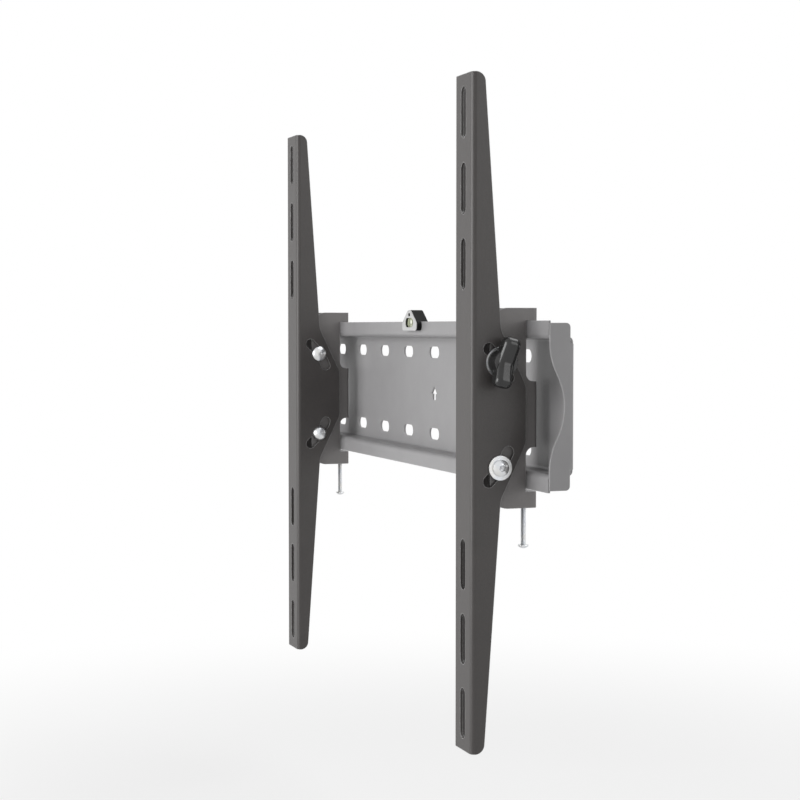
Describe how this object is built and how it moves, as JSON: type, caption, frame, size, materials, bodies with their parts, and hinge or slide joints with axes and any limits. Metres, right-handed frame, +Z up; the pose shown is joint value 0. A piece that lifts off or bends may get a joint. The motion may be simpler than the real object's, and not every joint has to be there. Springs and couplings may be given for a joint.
{
  "type": "tv wall mount",
  "caption": "Tilting TV wall mount: slotted folded wall plate with a clip-on bubble level and a pair of hooked channel arms that slide, tilt on curved slots and lock.",
  "frame": {"origin": "centre of the wall plate's slot pattern, on the wall plane", "axes": "+Z up, +X to the right seen from the room, +Y into the wall"},
  "size_m": [0.5, 0.0582, 0.45],
  "materials": {
    "plate_coat": "satin grey powder coat",
    "arm_coat": "satin black powder coat",
    "zinc": "bright zinc plate",
    "knob_plastic": "satin moulded black",
    "insert_brass": "turned brass",
    "level_black": "moulded black",
    "level_grey": "moulded pale grey",
    "vial_clear": "clear pale green acrylic"
  },
  "bodies": {
    "plate": {"wall_plate": "plate_coat", "level_housing": "level_black", "level_face": "level_grey", "level_vial": "vial_clear"},
    "right_arm": {"right_hook_bracket": "arm_coat", "right_clamp_bolt": "zinc", "right_clamp_washer": "zinc", "right_tilt_screw": "zinc", "right_tilt_washer": "zinc", "right_cap_nut": "zinc"},
    "right_tilting_rail": {"right_rail": "arm_coat"},
    "right_knob": {"right_tilt_knob": "knob_plastic", "right_knob_insert": "insert_brass"},
    "right_lock": {"right_lock_screw": "zinc"},
    "left_arm": {"left_hook_bracket": "arm_coat", "left_clamp_bolt": "zinc", "left_clamp_washer": "zinc", "left_tilt_screw": "zinc", "left_tilt_washer": "zinc", "left_cap_nut": "zinc"},
    "left_tilting_rail": {"left_rail": "arm_coat"},
    "left_knob": {"left_tilt_knob": "knob_plastic", "left_knob_insert": "insert_brass"},
    "left_lock": {"left_lock_screw": "zinc"}
  },
  "joints": [
    {"name": "right_slide", "type": "slide", "parent": "plate", "child": "right_arm", "axis": [1, 0, 0], "range_m": [-0.155, 0.03]},
    {"name": "right_tilt", "type": "hinge", "parent": "right_arm", "child": "right_tilting_rail", "pos_m": [0.2, -0.0862, -0.0065], "axis": [1, 0, 0], "range_deg": [-10, 10]},
    {"name": "right_knob_turn", "type": "hinge", "parent": "right_arm", "child": "right_knob", "pos_m": [0.2168, -0.03814, 0.02841], "axis": [1, 0, 0], "range_deg": [0, 270]},
    {"name": "right_lock_travel", "type": "slide", "parent": "right_arm", "child": "right_lock", "axis": [0, 0, 1], "range_m": [0, 0.01]},
    {"name": "left_slide", "type": "slide", "parent": "plate", "child": "left_arm", "axis": [-1, 0, 0], "range_m": [-0.155, 0.03]},
    {"name": "left_tilt", "type": "hinge", "parent": "left_arm", "child": "left_tilting_rail", "pos_m": [-0.2, -0.0862, -0.0065], "axis": [1, 0, 0], "range_deg": [-10, 10]},
    {"name": "left_knob_turn", "type": "hinge", "parent": "left_arm", "child": "left_knob", "pos_m": [-0.2168, -0.03814, 0.02841], "axis": [-1, 0, 0], "range_deg": [0, 270]},
    {"name": "left_lock_travel", "type": "slide", "parent": "left_arm", "child": "left_lock", "axis": [0, 0, 1], "range_m": [0, 0.01]}
  ]
}
